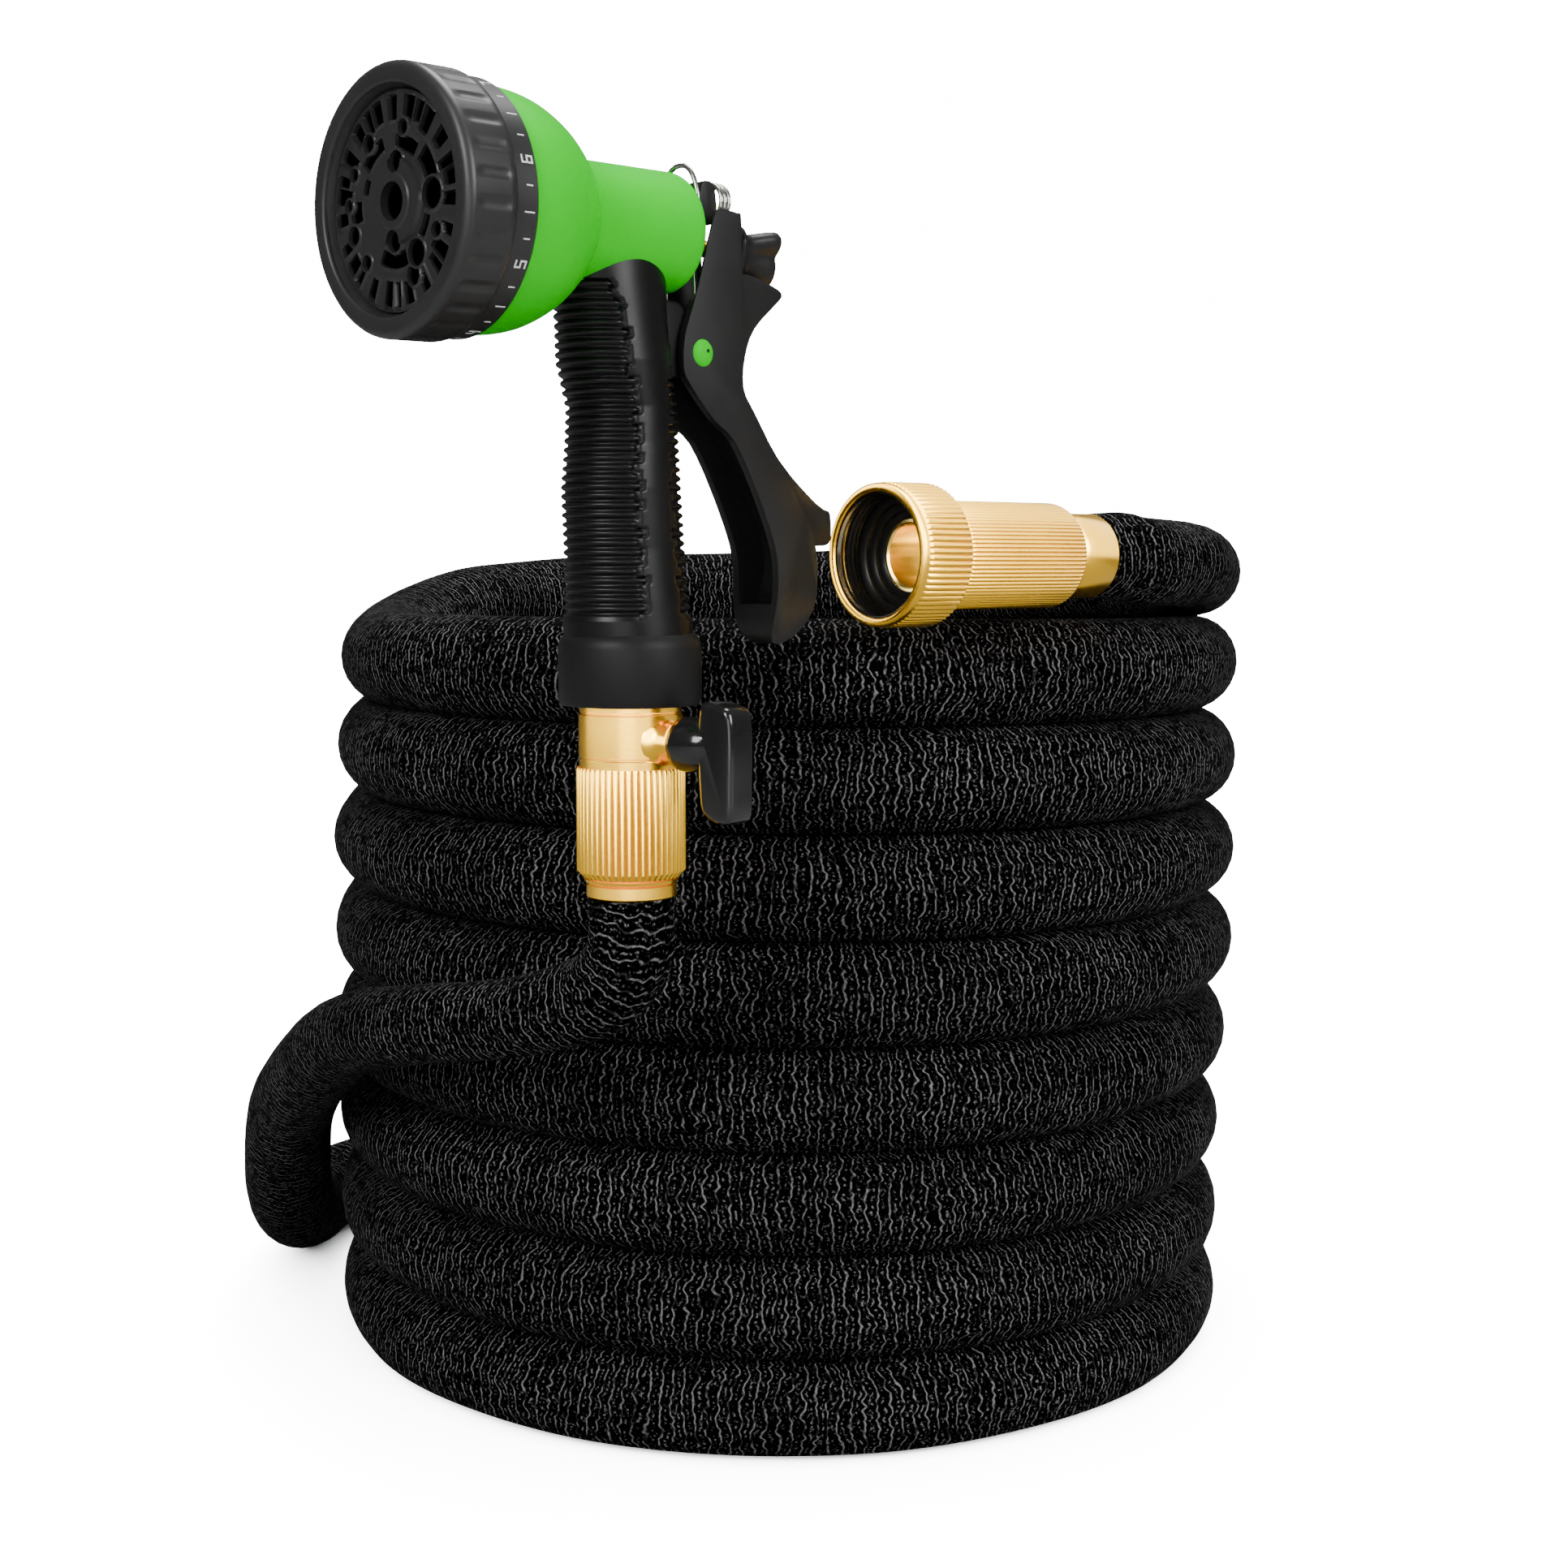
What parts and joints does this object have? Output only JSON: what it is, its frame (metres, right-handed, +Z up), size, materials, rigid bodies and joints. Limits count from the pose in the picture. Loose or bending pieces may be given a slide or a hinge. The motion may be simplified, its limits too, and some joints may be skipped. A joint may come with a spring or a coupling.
{
  "type": "garden hose",
  "caption": "Coiled black fabric-sleeved garden hose with a brass swivel connector, a brass shut-off valve with a lever, and a green and black trigger spray nozzle.",
  "frame": {"origin": "on the floor under the middle of the whole object's plan outline", "axes": "+Z up along the coil's own axis; the nozzle stands at the front, towards -Y, and the lead loops round the -X side"},
  "size_m": [0.2844, 0.3737, 0.2991],
  "materials": {
    "hose_fabric": "black crinkled woven polyester sleeve with broken grey lines round it",
    "brass": "satin golden brass, fluted and turned",
    "rubber": "matt black washer",
    "black_plastic": "moulded black, soft sheen",
    "grip_rubber": "soft black ribbed grip",
    "lever_plastic": "glossy black dipped",
    "green_plastic": "bright green, satin",
    "steel_wire": "bright drawn wire"
  },
  "bodies": {
    "hose": {"hose_coil": "hose_fabric", "hose_lead": "hose_fabric", "hose_top_turn": "hose_fabric", "supply_insert": "brass", "supply_sleeve": "brass", "supply_ferrule": "brass", "supply_washer": "rubber", "valve_ferrule": "brass", "valve_sleeve": "brass", "valve_body": "brass", "inlet_collar": "black_plastic", "inlet_washer": "rubber", "nozzle_grip": "grip_rubber", "nozzle_barrel": "green_plastic", "trigger_pin": "green_plastic"},
    "nut": {"supply_nut": "brass"},
    "lever": {"valve_stem": "brass", "valve_lever": "lever_plastic"},
    "dial": {"dial_ring": "black_plastic", "spray_face": "black_plastic"},
    "trigger": {"trigger": "black_plastic", "lock_spring": "steel_wire"},
    "rod": {"pull_rod": "brass", "flow_knob": "black_plastic"},
    "bail": {"lock_bail": "steel_wire"}
  },
  "joints": [
    {"name": "nut_swivel", "type": "hinge", "parent": "hose", "child": "nut", "pos_m": [0.03698, -0.09765, 0.2109], "axis": [-0.766, -0.6428, 0], "continuous": true},
    {"name": "valve_turn", "type": "hinge", "parent": "hose", "child": "lever", "pos_m": [-0.01416, -0.12966, 0.1732], "axis": [0.766, -0.6428, 0], "range_deg": [0, 90]},
    {"name": "dial_turn", "type": "hinge", "parent": "hose", "child": "dial", "pos_m": [-0.04951, -0.16501, 0.27443], "axis": [-0.707, -0.707, -0.0175], "continuous": true},
    {"name": "trigger_squeeze", "type": "hinge", "parent": "hose", "child": "trigger", "pos_m": [-0.00419, -0.11969, 0.2516], "axis": [-0.7071, 0.7071, 0], "range_deg": [0, 15], "stiffness_Nm_per_rad": 0.8, "springref_deg": -14.32},
    {"name": "rod_pull", "type": "slide", "parent": "hose", "child": "rod", "axis": [0.7071, 0.7071, 0], "range_m": [0, 0.0068]},
    {"name": "bail_swing", "type": "hinge", "parent": "trigger", "child": "bail", "pos_m": [-0.00383, -0.11934, 0.2605], "axis": [-0.7071, 0.7071, 0], "range_deg": [0, 20]}
  ],
  "couplings": [
    {"joint": "rod_pull", "follows": "trigger_squeeze", "m_per_rad": 0.025}
  ]
}
